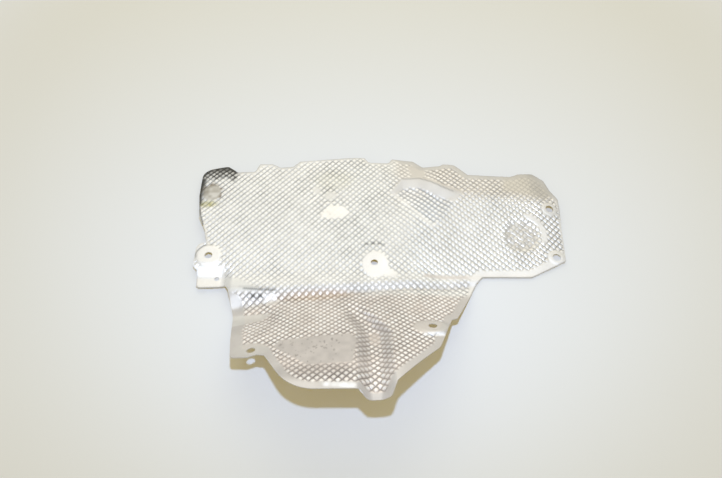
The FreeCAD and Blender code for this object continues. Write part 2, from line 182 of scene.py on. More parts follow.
# Long thin marks: points along the run, half width and soft edge
RUNS = {
    "ridge_strip": ([(44.0, 114.5), (61.0, 106.5), (73.0, 98.0), (95.0, 88.5)], 2.6, 2.5),
    "pocket_edge": ([(22.0, 91.0), (62.0, 46.0), (66.0, 50.0)], 1.6, 4.0),
    "fold_end": ([(52.0, -14.5), (106.0, -14.5)], 2.2, 3.0),
    "far_dash": ([(-69.0, 78.0), (-61.5, 86.5)], 1.2, 2.0),
    "near_dash": ([(-52.0, 77.5), (-42.0, 78.5)], 0.8, 2.0),
    "rim_shine": ([(-43.0, -164.5), (-20.0, -166.0)], 2.4, 3.0),
    "lip_shine": ([(44.0, -103.0), (61.0, -102.0)], 2.0, 3.0),
    "wrinkle": ([(30.0, 22.0), (46.0, 4.0), (59.0, -16.0)], 2.5, 9.0),
    "left_soot": ([(-190.5, 80.0), (-191.0, 92.0), (-189.0, 112.0)], 4.2, 6.0),
    "thin_soot": ([(-181.0, 48.0), (-185.0, 60.0), (-189.5, 80.0)], 0.7, 2.0),
    "wedge_shade": ([(-134.0, -31.5), (-99.0, -33.5)], 1.2, 5.0),
    "wedge_crease": ([(-130.0, -33.5), (-115.0, -34.5), (-99.0, -35.0)], 0.6, 1.8),
    "far_crease": ([(32.0, 112.5), (50.0, 112.0), (61.0, 105.0), (73.0, 96.5), (86.0, 90.0)], 0.6, 1.6),
    "tab_crease": ([(-184.0, -6.5), (-164.0, -7.0)], 0.3, 1.4),
    "fold_burn": ([(-124.0, -40.5), (-113.0, -41.0)], 2.2, 3.0),
}
SCRATCHES = ([(-36.5, 86.5), (-32.0, 74.0)], [(-62.5, 81.0), (-56.0, 74.0), (-55.5, 68.5)],
             [(-68.5, 93.5), (-66.0, 86.5)], [(-53.5, 79.5), (-41.0, 80.5)], [(-50.0, 66.0), (-46.0, 62.0)])
SCUFF = [(-57.0, 59.2), (-52.4, 68.0), (-47.7, 75.3), (-37.9, 74.1), (-28.0, 69.1), (-26.0, 64.1),
         (-32.9, 56.9), (-45.7, 56.2)]
CRUSHED = (((-138.0, -47.0), (6.5, 6.5), 3.0), ((-103.0, -45.0), (7.5, 6.5), 3.0))

# Arcs: centre, radius, start and end in degrees, half width and soft edge
ARCS = {
    "dish_arc": (DISH, 24.5, -20.0, 75.0, 3.0, 2.5),
    "ear_crease": (EAR, 13.5, 75.0, 190.0, 0.8, 1.8),
    "centre_ring": (CENTRE, 26.0, 65.0, 115.0, 1.6, 2.0),
    "burnt_ring": (CORNER_PAD, 11.5, -60.0, 160.0, 2.0, 3.5),
}

# Marks that two others make up
JOINED = {"centre_pad": ("centre_round", "centre_tail"), "collars": ("far_collar", "near_collar"),
          "ridge": ("ridge_strip", "far_patch"), "grey": ("dull", "dull_end")}

# Marks without embossing, and how much of it the others take away
PLAIN = ("margin", "centre_pad", "ear_pad", "tab", "corner_pad", "collars", "pocket_wall", "front_pad",
         "front_tab", "right_pad", "nose", "wedge", "strip", "dish_arc", "ridge", "fold_end", "pocket_side")
FLATTENED = {"dish": 0.45, "white": 0.85, "far_corner": 0.7, "groove_floor": 0.7, "groove_wall": 0.3,
             "grey": 0.8, "crushed": 0.7, "hatch": 0.4}

PAINTS = {
    "sheet": (0.86, 0.855, 0.83),
    "far_right": (0.74, 0.695, 0.635),
    "front": (0.72, 0.645, 0.595),
    "fold": (0.64, 0.61, 0.57),
    # Painted highlight on the crowns of the embossing
    "crown": (0.97, 0.965, 0.95),
    "margin": (0.67, 0.66, 0.635),
    "far_margin": (0.54, 0.525, 0.495),
    "front_margin": (0.57, 0.545, 0.52),
    # Darker brown of the ridge strip and far patch, painted shade along the step above the pocket
    "ridge": (0.61, 0.58, 0.535),
    # Painted shade of the far right corner
    "far_corner": (0.55, 0.525, 0.47),
    "fold_end": (0.68, 0.62, 0.57),
    "pocket_wall": (0.74, 0.715, 0.67),
    # Painted shade and reflection, and painted highlight, of the pocket's floor
    "pocket_hollow": (0.46, 0.52, 0.62),
    "pocket_crown": (0.97, 0.98, 1.0),
    "front_pad": (0.55, 0.52, 0.495),
    "hole_pad": (0.63, 0.61, 0.575),
    "strip": (0.74, 0.73, 0.69),
    "wedge": (0.76, 0.755, 0.73),
    "corner_pad": (0.47, 0.445, 0.395),
    "grey": (0.66, 0.66, 0.65),
    "dish": (0.54, 0.51, 0.47),
    "pale": (0.90, 0.885, 0.86),
    # Painted highlight
    "shine": (0.92, 0.93, 0.95),
    "heat": (0.62, 0.45, 0.31),
    "olive": (0.46, 0.43, 0.14),
    "stain": (0.70, 0.66, 0.40),
    # Painted shade along the edges
    "edge": (0.42, 0.41, 0.40),
    "dark_hollows": (0.16, 0.15, 0.14),
    "soot": (0.030, 0.028, 0.020),
    # Painted shade of the fold's valley and crest, and dark lines of painted shade and of scratches
    "valley": (0.40, 0.33, 0.27),
    "crest": (0.46, 0.43, 0.40),
    "crease": (0.10, 0.10, 0.085),
    "burnt": (0.24, 0.20, 0.15),
    "speck": (0.25, 0.22, 0.20),
}

# What the wing takes from the colour, and what each mark adds to the roughness and to the dark lines of painted
# shade in the embossed grooves
WING_TONE = (0.06, 0.075, 0.095)
ROUGHNESS = 0.36
ROUGHER = {"smooth": 0.16, "soot": 0.25, "fold": 0.14, "pocket_wall": 0.25, "right_border": 0.1,
           "crest_band": 0.10}
LINES = 0.34
DARKER_LINES = {"front": 0.10, "hatch": 0.15, "right_border": 0.15, "far_half": 0.10}

# Metal: how wide its dark lines of painted groove shade are, and how much its grain changes colour, roughness
# and relief
METALLIC = 0.6
LINE_WIDTH = 0.6
GRAIN_SCALE, GRAIN_DETAIL = 650.0, 3.0
GRAIN_TONE, GRAIN_ROUGH, GRAIN_RELIEF = 0.12, 0.16, 0.3
RELIEF_STRENGTH, RELIEF_DEPTH = 0.8, 0.5 * MM

# Camera at the photograph's angle; from here on lengths are metres
EYE = Vector((-13.7, -430.9, 634.2)) * MM
TILT = math.radians(36.0)
SENSOR = 36.0
LENS = SENSOR * 750.0 / 722.0

# Lamps: their settings, their places and what they point at
KEY = {"shadow_soft_size": 0.014, "spot_size": math.radians(118.0), "spot_blend": 1.0, "energy": 20.5,
       "color": (0.68, 0.79, 1.0)}
KEY_PLACE = EYE + Vector((0.0, math.cos(TILT), math.sin(TILT))) * 0.16
KEY_TARGET = Vector((0.0, 0.45, 0.0))
PANEL = {"shape": "SQUARE", "size": 1.7, "energy": 7.5, "color": (1.0, 0.92, 0.72)}
PANEL_PLACE = Vector((0.0, 1.4, 1.1))
PANEL_TARGET = Vector((0.0, 0.0, 0.0))

# Light that fills the room, and the backdrop that the camera and reflections see: colour and strength
FILL = ((1.0, 0.89, 0.58, 1.0), 0.48)
BACKDROP = ((0.90, 0.89, 0.86, 1.0), 0.75)

# Floor: half its width, its colour, and the glow it shows near the sheet, painted light that lightens the
# sheet's shadow, and far off
FLOOR_REACH = 6.0
FLOOR_COLOUR, FLOOR_ROUGHNESS = (0.60, 0.69, 0.84, 1.0), 0.6
FLOOR_NEAR, FLOOR_FAR = (0.19, 0.12, 0.0, 1.0), (0.37, 0.36, 0.40, 1.0)
FLOOR_CENTRE = (0.0, 0.2, 0.0)
FLOOR_BLEND = (0.4, 0.9)


def rise(distance, width):
    """0 to 1 across a band of this width centred on zero."""
    share = np.clip(distance / width + 0.5, 0.0, 1.0)
    return share * share * (3.0 - 2.0 * share)


def ramp(distance, bend):
    """Zero before a bend line and the distance itself past it, rounded over about the bend's length."""
    return 0.5 * (distance + np.hypot(distance, bend))


def slope(degrees):
    return math.tan(math.radians(degrees))


def knots(x, pairs):
    """Straight runs through these pairs of place and value."""
    return np.interp(x, [pair[0] for pair in pairs], [pair[1] for pair in pairs])


def most(*shares):
    """The strongest of several masks at each place."""
    return np.maximum.reduce(shares)


def spot(x, y, centre, radii, soft, turn=0.0):
    """1 inside an ellipse and 0 outside, with a soft edge in millimetres."""
    c, s = math.cos(math.radians(turn)), math.sin(math.radians(turn))
    dx, dy = x - centre[0], y - centre[1]
    along, across = c * dx + s * dy, c * dy - s * dx
    far = np.sqrt((along / radii[0]) ** 2 + (across / radii[1]) ** 2 + 1e-12)
    return 1.0 - rise((far - 1.0) * min(radii), soft)


def beyond(x, y, *sides):
    """1 past all of these sides and 0 before them."""
    share = np.ones_like(x)
    for way, place, width in sides:
        past = (x if way[1] == "X" else y) - place
        share = share * rise(past if way[0] == "+" else -past, width)
    return share


def side_of(x, y, start, end):
    """Distance to the right of the directed line from start to end."""
    dx, dy = end[0] - start[0], end[1] - start[1]
    return ((y - start[1]) * dx - (x - start[0]) * dy) / -math.hypot(dx, dy)


def polygon(x, y, corners, soft):
    """1 inside a convex polygon given clockwise, 0 outside."""
    depth = np.full_like(x, np.inf)
    for here, ahead in zip(corners, corners[1:] + corners[:1]):
        depth = np.minimum(depth, side_of(x, y, here, ahead))
    return rise(depth, soft)


def stroke(x, y, points, half, soft):
    """1 along a chain of straight runs, 0 away from it."""
    best = np.full_like(x, np.inf)
    for (x0, y0), (x1, y1) in zip(points, points[1:]):
        length = (x1 - x0) ** 2 + (y1 - y0) ** 2
        share = np.clip(((x - x0) * (x1 - x0) + (y - y0) * (y1 - y0)) / length, 0.0, 1.0)
        best = np.minimum(best, np.hypot(x - x0 - share * (x1 - x0), y - y0 - share * (y1 - y0)))
    return 1.0 - rise(best - half, soft)


def arc(x, y, centre, radius, start, end, half, soft):
    """1 along part of a circle, from one angle to another in degrees, 0 away from it."""
    dx, dy = x - centre[0], y - centre[1]
    off = np.abs((np.degrees(np.arctan2(dy, dx)) - 0.5 * (start + end) + 180.0) % 360.0 - 180.0)
    past_end = np.radians(off - 0.5 * (end - start)) * radius
    return (1.0 - rise(np.abs(np.hypot(dx, dy) - radius) - half, soft)) * (1.0 - rise(past_end, 3.0 * soft))


def mottle(x, y, name):
    """Smooth random field of this name, from 0 to 1."""
    lump, seed = FIELDS[name]
    cells = 128
    field = np.random.default_rng(seed).random((cells, cells))
    u, v = x / lump + 0.5 * cells, y / lump + 0.5 * cells
    i, j = np.floor(u).astype(int), np.floor(v).astype(int)
    a, b = rise(u - i - 0.5, 1.0), rise(v - j - 0.5, 1.0)
    right, above = (i + 1) % cells, (j + 1) % cells
    i, j = i % cells, j % cells
    low = field[i, j] * (1.0 - a) + field[right, j] * a
    high = field[i, above] * (1.0 - a) + field[right, above] * a
    return low * (1.0 - b) + high * b


def hump(y, middle, width):
    return np.exp(-((y - middle) / width) ** 2)


def pocket_parts(x, y):
    """Depth of the pocket, and masks of its plain far wall and of its hatched floor."""
    to_far = 0.94 * (knots(x, POCKET_FAR) - y)
    left, right = POCKET_FAR[0], POCKET_FAR[-1]
    to_sides = np.minimum(side_of(x, y, right, POCKET_TIP), side_of(x, y, POCKET_TIP, left))
    floor = POCKET_DEPTH * (1.0 - to_far / POCKET_LENGTH)
    wall = slope(POCKET_FAR_FALL) * to_far
    side = slope(POCKET_SIDE_FALL) * to_sides
    depth = ramp(floor - ramp(floor - wall, 1.0) - ramp(np.minimum(floor, wall) - side, 1.2), 0.8) - 0.4
    within = rise(to_sides + 0.5, 3.0)
    hatched = rise(to_far - POCKET_PLAIN, 2.5)
    plain = (1.0 - hatched) * rise(to_far + 2.0, 2.0) * within
    bottom = hatched * within * rise(floor - 1.0, 1.5)
    return np.maximum(0.0, depth), plain, bottom


def back_panel(x, y, past_crest):
    """Height of the flat back panel with its wing, falling borders, pocket and dish."""
    level = y - WING_LEVEL
    turned = rise(x - WING_START - WING_LEAN * np.abs(level), WING_BEND + 1.0 * past_crest)
    height = turned * slope(WING_TIP) * level
    height = height - slope(BORDER_FALL) * ramp(y - knots(x, RIDGE), 4.0)
    height = height - rise(y - 17.0, 55.0) * slope(RIGHT_FALL) * ramp(x - RIGHT_BEND, 4.0)
    out = np.hypot(np.minimum(0.0, x - FAR_LEFT[0]), np.maximum(0.0, y - FAR_LEFT[1]))
    near_corner = rise(-147.0 - x, 17.0) * rise(y - 70.0, 17.0)
    height = height - near_corner * slope(FAR_LEFT_FALL) * ramp(out - FAR_LEFT_FLAT, 8.0)
    height = height - pocket_parts(x, y)[0]
    lumps = DISH_LUMPS * (mottle(x, y, "dish_floor") - 0.5)
    return height - spot(x, y, DISH, DISH_SIZE, 7.0) * (DISH_DEPTH + lumps)


def raised_pads(x, y):
    """Low round pads and collars at the holes of the back panel."""
    height = EAR_LIFT * spot(x, y, EAR, (12.5, 12.5), 3.0)
    height = height + CENTRE_LIFT * spot(x, y, CENTRE, (14.0, 15.0), 3.5)
    for hole in RIGHT_HOLES:
        height = height + COLLAR_LIFT * spot(x, y, hole, (7.5, 7.5), 2.5)
    return height


def fold_lines(x):
    """How far along the fold each place is, and the Y of its crest and of its valley there."""
    run = np.clip((x - FOLD[0]) / (FOLD[1] - FOLD[0]), 0.0, 1.0)
    return run, CREST_START + CREST_SHIFT * run, knots(x, VALLEY)


def groove_place(x, y):
    """How far across the groove each place is: 0 at its bottom, -1 and 1 at its two sides."""
    return (x - knots(y, GROOVE_MIDDLE)) / knots(y, GROOVE_HALF)


def pressed(x, y):
    """Height of the sheet without its pads and its embossing."""
    run, crest_y, valley_y = fold_lines(x)
    crest = CREST_HEIGHT - CREST_LOSS * run
    back = back_panel(x, np.maximum(y, crest_y), np.maximum(0.0, crest_y - y))
    behind = back + crest * hump(y, crest_y, CREST_FOOT - FOOT_LOSS * run)
    span = crest_y - valley_y
    bend = VALLEY_BEND + VALLEY_EASE * rise(run - 0.85, 0.3)
    climb = slope(FRONT_CLIMB) * (ramp(valley_y - y, bend) - ramp(-span, bend))
    front = back + crest - slope(VALLEY_FALL) * span * rise(crest_y - y - 0.5 * span, span) + climb
    front = front - RIM_LOSS * ramp(front - RIM_LEVEL, 8.0)
    front = front - knots(y, GROOVE_DEPTH) * (1.0 - rise(np.abs(groove_place(x, y)) - 0.58, 0.84))
    sag = 3.6 * hump(y, -68.0, 12.0) - 2.0 * hump(y, -103.0, 12.0)
    front = front - rise(-100.0 - x, 24.0) * sag
    lip = spot(x, y, (FRONT_RIGHT[0], FRONT_RIGHT[1] - 1.0), (17.0, 9.5), 6.0)
    front = front + lip * (LIP_LIFT + LIP_TILT * (x - FRONT_RIGHT[0]))
    step = TAB_STEP * rise(-149.0 - x, 14.0) * rise(-8.0 - y, 18.0)
    return np.where(y >= crest_y, behind, front) - step


DATUM = float(pressed(np.zeros(1), np.zeros(1))[0])


def form(x, y):
    """Height of the middle of the sheet, without its embossing."""
    return pressed(x, y) + raised_pads(x, y) - DATUM


def plan_loops(node):
    """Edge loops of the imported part's upper skin in plan: outline and holes, with the sheet on their left."""
    mesh = node.data
    mesh.calc_loop_triangles()
    points = np.empty(len(mesh.vertices) * 3)
    mesh.vertices.foreach_get("co", points)
    faces = np.empty(len(mesh.loop_triangles) * 3, dtype=np.int64)
    mesh.loop_triangles.foreach_get("vertices", faces)
    points, merged = np.unique((points.reshape(-1, 3) / MM).round(3), axis=0, return_inverse=True)
    faces = merged.reshape(-1)[faces].reshape(-1, 3)
    corner = points[faces]
    normal = np.cross(corner[:, 1] - corner[:, 0], corner[:, 2] - corner[:, 0])
    upper = faces[normal[:, 2] > 0.6 * np.linalg.norm(normal, axis=1)]
    edges = set()
    for a, b, c in upper.tolist():
        edges.update(((a, b), (b, c), (c, a)))
    ahead = {a: b for a, b in edges if (b, a) not in edges}
    loops = []
    while ahead:
        first, here = ahead.popitem()
        loop = [first]
        while here != first:
            loop.append(here)
            here = ahead.pop(here)
        loops.append(even_loop(points[loop, :2]))
    return sorted(loops, key=len, reverse=True)


def even_loop(points):
    """The same loop with long sides split and points that crowd left out."""
    crowded = 0.45 * EDGE_STEP
    kept = [points[0]]
    for point in points[1:]:
        if np.hypot(*(point - kept[-1])) > crowded:
            kept.append(point)
    if np.hypot(*(kept[-1] - kept[0])) < crowded:
        kept.pop()
    split = []
    for here, ahead in zip(kept, kept[1:] + kept[:1]):
        count = max(1, round(float(np.hypot(*(ahead - here))) / EDGE_STEP))
        split += [here + (ahead - here) * step / count for step in range(count)]
    return np.array(split)


LOOPS = plan_loops(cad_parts["heat_shield"])
OUTLINE = LOOPS[0]


def inside(x, y):
    """True on the sheet, False off it and in its holes."""
    odd = np.zeros(x.shape, dtype=bool)
    for loop in LOOPS:
        for (x0, y0), (x1, y1) in zip(loop, np.roll(loop, -1, axis=0)):
            if y0 == y1:
                continue
            crosses = (y0 > y) != (y1 > y)
            odd ^= crosses & (x < x0 + (y - y0) * (x1 - x0) / (y1 - y0))
    return odd


def distance_to(points, x, y):
    tree = KDTree(len(points))
    for index, (px, py) in enumerate(points):
        tree.insert((px, py, 0.0), index)
    tree.balance()
    return np.array([tree.find((px, py, 0.0))[2] for px, py in zip(x, y)])


# Grid on which the flat sheet's length along Y is kept, because the embossed rows follow it over the slopes
GRID_STEP = (2.0, 0.5)
GRID_X = np.arange(-205.0, 216.0, GRID_STEP[0])
GRID_Y = np.arange(-190.0, 160.0, GRID_STEP[1])


def unrolled():
    """Length of the flat sheet along Y from the centre hole's line, on the grid."""
    gx, gy = np.meshgrid(GRID_X, GRID_Y, indexing="ij")
    steep = np.gradient(form(gx, gy), GRID_Y, axis=1)
    total = np.cumsum(np.sqrt(1.0 + steep ** 2) * GRID_STEP[1], axis=1)
    return total - total[:, [int(np.argmin(np.abs(GRID_Y)))]]


UNROLLED = unrolled()


def flat_y(x, y):
    """Y of these places on the flat sheet."""
    column = np.clip((x - GRID_X[0]) / GRID_STEP[0], 0, len(GRID_X) - 1.001)
    row = np.clip((y - GRID_Y[0]) / GRID_STEP[1], 0, len(GRID_Y) - 1.001)
    i, j = column.astype(int), row.astype(int)
    a, b = column - i, row - j
    low = UNROLLED[i, j] * (1 - b) + UNROLLED[i, j + 1] * b
    high = UNROLLED[i + 1, j] * (1 - b) + UNROLLED[i + 1, j + 1] * b
    return low * (1 - a) + high * a


def lattice(per_cell):
    """Plan places on the embossed lattice, this many to a pitch, clear of the edges."""
    step = PITCH / per_cell
    reach = int((GRID_X[-1] - GRID_X[0]) / step)
    i, j = np.meshgrid(np.arange(-reach, reach + 1), np.arange(-reach, reach + 1))
    c, s = math.cos(TURN), math.sin(TURN)
    u = (step * (i * c - j * s)).ravel()
    v = (step * (i * s + j * c)).ravel()
    near = (u > GRID_X[0]) & (u < GRID_X[-1]) & (v > UNROLLED.min()) & (v < UNROLLED.max())
    u, v = u[near], v[near]
    y = v.copy()
    for _ in range(8):
        steep = (flat_y(u, y + 0.5) - flat_y(u, y - 0.5)).clip(0.5, None)
        y = np.clip(y - (flat_y(u, y) - v) / steep, GRID_Y[0] + 1.0, GRID_Y[-1] - 1.0)
    kept = inside(u, y)
    u, y = u[kept], y[kept]
    clear = distance_to(np.concatenate(LOOPS), u, y) > 0.6 * step
    return u[clear], y[clear]


def skin(per_cell):
    """Triangles over the plan: the loops' points come first, in order."""
    edges = []
    first = 0
    for loop in LOOPS:
        count = len(loop)
        edges += [(first + index, first + (index + 1) % count) for index in range(count)]
        first += count
    x, y = lattice(per_cell)
    places = np.concatenate([*LOOPS, np.stack([x, y], axis=1)])
    found = geometry.delaunay_2d_cdt([Vector(place) for place in places], edges, [], 0, 1e-5, False)
    plan = np.array([tuple(point) for point in found[0]])
    faces = np.array([tuple(face) for face in found[2]])
    middle = plan[faces].mean(axis=1)
    return plan, faces[inside(middle[:, 0], middle[:, 1])]


def row_shares(x):
    """How deep the two families of embossed lines are along the sheet, one leaning left and one right."""
    return knots(x, ROWS_LEFT), knots(x, ROWS_RIGHT)


def wave(x, y):
    """0 in the hollows of the embossing and 1 on its bumps."""
    u, v = x, flat_y(x, y)
    c, s = math.cos(TURN), math.sin(TURN)
    left, right = row_shares(x)
    first = 1.0 - left + left * np.abs(np.cos(math.pi * (u * c + v * s) / PITCH))
    second = 1.0 - right + right * np.abs(np.cos(math.pi * (v * c - u * s) / PITCH))
    return first * second


def fold_and_groove(x, y):
    """Masks along the fold, and on the walls of the groove, whose right wall starts nearer to the nose."""
    _, crest_y, valley_y = fold_lines(x)
    from_crest, from_valley = y - crest_y, y - valley_y
    across = groove_place(x, y)
    head = np.where(across < 0.0, -70.0, -88.0)
    valley_run = rise(x + 112.0, 20.0) * rise(70.0 - x, 40.0)
    return {
        "fold": rise(1.0 - from_crest, 4.0) * rise(from_valley + 4.0, 8.0),
        "crest_band": 1.0 - rise(np.abs(from_crest - 3.0) - 9.0, 8.0),
        "crest_line": (1.0 - rise(np.abs(from_crest - 4.0) - 0.6, 1.8)) * rise(70.0 - x, 30.0),
        "valley_line": (1.0 - rise(np.abs(from_valley + 2.0) - 0.5, 1.8)) * valley_run,
        "groove_wall": hump(np.abs(across), 0.6, 0.35) * rise(head - y, 20.0) * rise(y + 148.0, 24.0),
    }


def add_margin(x, y, part):
    """Adds the smooth margin along the sheet's edge, and its rim."""
    width = MARGIN + sum(more * part[name] for name, more in MARGIN_MORE.items())
    width = width + MARGIN_RAGGED * (mottle(x, y, "margin") - 0.5)
    edge = distance_to(OUTLINE, x, y)
    part["margin"] = 1.0 - rise(edge - width, 2.5)
    part["rim"] = 1.0 - rise(edge - 0.8, 1.6)


def add_bumps(x, y, part):
    """Adds the share of embossing that is left, and its hollows, crowns and gaps."""
    part["smooth"] = most(*(part[name] for name in PLAIN))
    part["emboss"] = 1.0 - part["smooth"]
    for name, loss in FLATTENED.items():
        part["emboss"] = part["emboss"] * (1.0 - loss * part[name])
    bump = wave(x, y)
    part["hollow"] = (1.0 - bump) * part["emboss"]
    part["crown"] = rise(bump - 0.66, 0.4) * part["emboss"] * (0.5 + mottle(x, y, "crowns"))
    part["gap"] = rise(0.6 - bump, 0.3)


def soot(x, y, part):
    """Soot on the far left corner: thick at the top, where the crowns stay bare, and thin down the edge."""
    ragged = 9.0 * (mottle(x, y, "soot") - 0.5)
    top = rise(y - 111.0 + ragged, 13.0) * rise(-151.0 - x + 0.3 * ragged, 7.0)
    bare = 0.85 * part["crown"] * (1.0 - 0.85 * rise(y - 123.0, 10.0))
    return most(part["left_soot"], part["thin_soot"], top * (1.0 - bare))


def masks(x, y):
    """Every mark on the sheet as a mask from 0 to 1, by name."""
    part = fold_and_groove(x, y)
    for maker, table in ((beyond, REGIONS), (spot, ROUNDS), (polygon, SIDED), (stroke, RUNS), (arc, ARCS)):
        for name, values in table.items():
            part[name] = maker(x, y, *values)
    for name, (first, second) in JOINED.items():
        part[name] = most(part[first], part[second])
    part["far_half"] = part["far_band"] * (1.0 - part["far_right"])
    _, part["pocket_wall"], part["pocket_floor"] = pocket_parts(x, y)
    part["pocket_side"] = 0.7 * part["pocket_edge"]
    part["lumps"] = mottle(x, y, "lumps")
    ragged = 2.4 * (mottle(x, y, "scuff") - 0.5)
    part["crushed"] = most(*(spot(x + 2.0 * ragged, y + ragged, *values) for values in CRUSHED))
    part["white"] = most(polygon(x + ragged, y + ragged, SCUFF, 2.5), part["far_dash"], part["near_dash"])
    add_margin(x, y, part)
    add_bumps(x, y, part)
    part["soot"] = soot(x, y, part)
    return part


def painted(colour, *coats):
    """The colour under these coats, each a mask and the name of its paint."""
    for share, name in coats:
        colour = colour + share[:, None] * (np.array(PAINTS[name]) - colour)
    return colour


def shaded(colour, amount):
    """The colour made darker by this share, or lighter where it is below zero."""
    return colour * (1.0 - amount)[:, None]


def bare_sheet(part):
    """Plain metal: the panels and the fold, with painted shade in the hollows of the embossing and painted
    highlights on its crowns.
    """
    front = part["front"]
    colour = np.ones((len(front), 3)) * PAINTS["sheet"]
    colour = painted(colour, (0.7 * part["far_right"], "far_right"), (front, "front"))
    colour = colour * (1.0 - part["wing"][:, None] * WING_TONE)
    colour = painted(colour, (0.7 * part["fold"], "fold"))
    # Painted shade darkens the hollows of the embossing, and painted highlights lighten its crowns, less near
    # the rim
    colour = shaded(colour, part["hollow"] * (0.06 + 0.16 * front))
    crown_highlight = (0.4 + 0.55 * front) * (1.0 - 0.6 * part["near_rim"]) * part["crown"]
    return painted(colour, (crown_highlight, "crown"))


def smooth_pressings(colour, x, y, part):
    """Margins, pads, pocket and dish, the marks that are rubbed pale, painted shade on the ridge strip, the far
    right corner and the pocket's floor, and painted highlights on the pocket's crowns, along the rim and below
    the right hole's lip.
    """
    colour = painted(
        colour,
        (0.6 * part["margin"], "margin"),
        # The ridge strip and the far patch are painted darker brown; along the step above the pocket this is
        # painted shade
        (0.7 * part["ridge"], "ridge"),
        (0.6 * part["far_right"] * part["margin"], "far_margin"),
        # Painted shade: the far right corner is painted darker where it curves down away from the light
        (0.75 * part["far_corner"], "far_corner"),
        (0.7 * part["fold_end"], "fold_end"),
        (0.7 * part["pocket_wall"], "pocket_wall"),
        (0.8 * part["front_pad"], "front_pad"),
        (0.7 * part["front"] * part["margin"], "front_margin"),
        (0.7 * part["strip"], "strip"),
        (0.7 * most(part["right_pad"], part["front_tab"]), "hole_pad"),
        (0.7 * part["wedge"], "wedge"),
        (part["corner_pad"] * (0.5 + 0.7 * mottle(x, y, "corner_pad")), "corner_pad"),
        (0.7 * part["grey"], "grey"),
        # Painted shade and reflection in the hollows of the pocket's floor, and painted highlights on its
        # crowns
        (part["pocket_floor"] * 0.36 * part["hollow"], "pocket_hollow"),
        (part["pocket_floor"] * 0.6 * part["crown"], "pocket_crown"),
        (part["dish"] * (0.16 + 0.42 * mottle(x, y, "dish_stain")), "dish"),
    )
    pale = most(part["white"], part["centre_pad"], part["near_strip"] * part["smooth"], part["dish_arc"],
                part["tab"], 0.9 * part["ear_pad"], part["pocket_side"], 0.5 * part["crushed"])
    # Painted highlights along the front rim and below the right hole's lip
    shine = most(part["rim_shine"] * (0.4 + 0.6 * mottle(x, y, "rim_shine")), part["lip_shine"])
    return painted(colour, (0.85 * pale, "pale"), (shine, "shine"))


def heat_and_shade(colour, x, y, part):
    """Heat tints, and painted shade on the groove's walls and floor, near the rim, along the edges and in the
    wrinkle, with painted light at the nose and at the groove's mouth.
    """
    olive = part["olive"] * (0.5 + 0.5 * mottle(x, y, "olive"))
    colour = painted(colour, (part["heat"] * (0.2 + 0.5 * part["hollow"]), "heat"), (0.85 * olive, "olive"))
    # Painted light at the nose and the groove's mouth, and painted shade on the groove's walls and near the rim
    light = 0.08 * part["nose_light"] + 0.15 * part["mouth"]
    colour = shaded(colour, 0.16 * part["groove_wall"] + 0.18 * part["rim_shade"] - light)
    # Painted shade on the groove's floor
    colour = shaded(colour, 0.12 * part["groove_floor"])
    # Painted shade: a dark line along the far edge, the near strip and the tab
    edge_line_shade = part["rim"] * most(part["far_rim"], part["near_strip"], part["tab"])
    colour = painted(colour, (0.8 * edge_line_shade, "edge"))
    # Painted shade in the wrinkle, where the surface turns away
    return shaded(colour, 0.12 * part["wrinkle"])


def soot_and_marks(colour, x, y, part):
    """Soot, scratches, stains and specks, darker hollows on the right border, a dark brown ring at the corner
    pad, and painted shade beside the wedge, along the fold's valley and crest, and as dark lines at creases and
    steps.
    """
    # The deep hollows of the right border are darkened
    dark_hollows = part["right_border"] * rise(part["hollow"] - 0.6, 0.5)
    colour = painted(colour, (0.3 * dark_hollows, "dark_hollows"), (0.92 * part["soot"], "soot"))
    # Painted shade beside the wedge
    colour = shaded(colour, 0.22 * part["wedge_shade"])
    crest = part["crest_line"] * (1.0 - 0.7 * part["crown"])
    # Dark lines: painted shade at the wedge's fold line under the crest, at the step above the pocket, on the
    # far sides of the ear and centre pads and under the tab's step, painted shade mixed with grime at the
    # fold's black marks, and real scratches
    crease = most(
        1.2 * part["wedge_crease"],
        0.65 * part["far_crease"],
        0.8 * part["ear_crease"],
        0.8 * part["centre_ring"] * part["gap"],
        0.7 * part["tab_crease"] * rise(part["lumps"] - 0.35, 0.3),
        1.3 * part["fold_burn"] * part["gap"],
        *(0.45 * stroke(x, y, run, 0.4, 1.6) for run in SCRATCHES),
    )
    # A dark brown, patchy ring round the corner pad
    burnt = part["burnt_ring"] * rise(mottle(x, y, "burn") - 0.35, 0.5)
    colour = painted(
        colour,
        # Painted shade along the fold's valley and under its crest
        (0.45 * part["valley_line"], "valley"),
        (0.18 * crest, "crest"),
        (0.7 * crease, "crease"),
        (0.85 * burnt, "burnt"),
        (0.14 * part["stain"], "stain"),
    )
    colour = shaded(colour, 0.16 * part["front_pad"] * (mottle(x, y, "front_pad") - 0.5))
    specks = part["front_pad"] * rise(mottle(x, y, "specks") - 0.92 + 0.08 * part["worn"], 0.1)
    return painted(colour, (0.6 * specks, "speck"))


def surface(x, y, part):
    """Colour, roughness and strength of the dark lines of painted groove shade at each place."""
    colour = bare_sheet(part)
    for coat in (smooth_pressings, heat_and_shade, soot_and_marks):
        colour = coat(colour, x, y, part)
    colour = colour * (0.95 + 0.1 * part["lumps"])[:, None]
    rough = ROUGHNESS + sum(more * part[name] for name, more in ROUGHER.items())
    # Painted groove shade: darker on the front, the hatch, the right border and the far half, weaker near the
    # rim, along the crest and in random patches
    lines = LINES + sum(more * part[name] for name, more in DARKER_LINES.items())
    lines = lines * (1.0 - 0.45 * part["near_rim"]) * (1.0 - 0.4 * part["crest_band"])
    for name in ("patches", "spots"):
        lines = lines * (0.6 + 0.8 * mottle(x, y, name))
    return np.clip(colour, 0.0, 1.0), np.clip(rough, 0.2, 0.9), lines


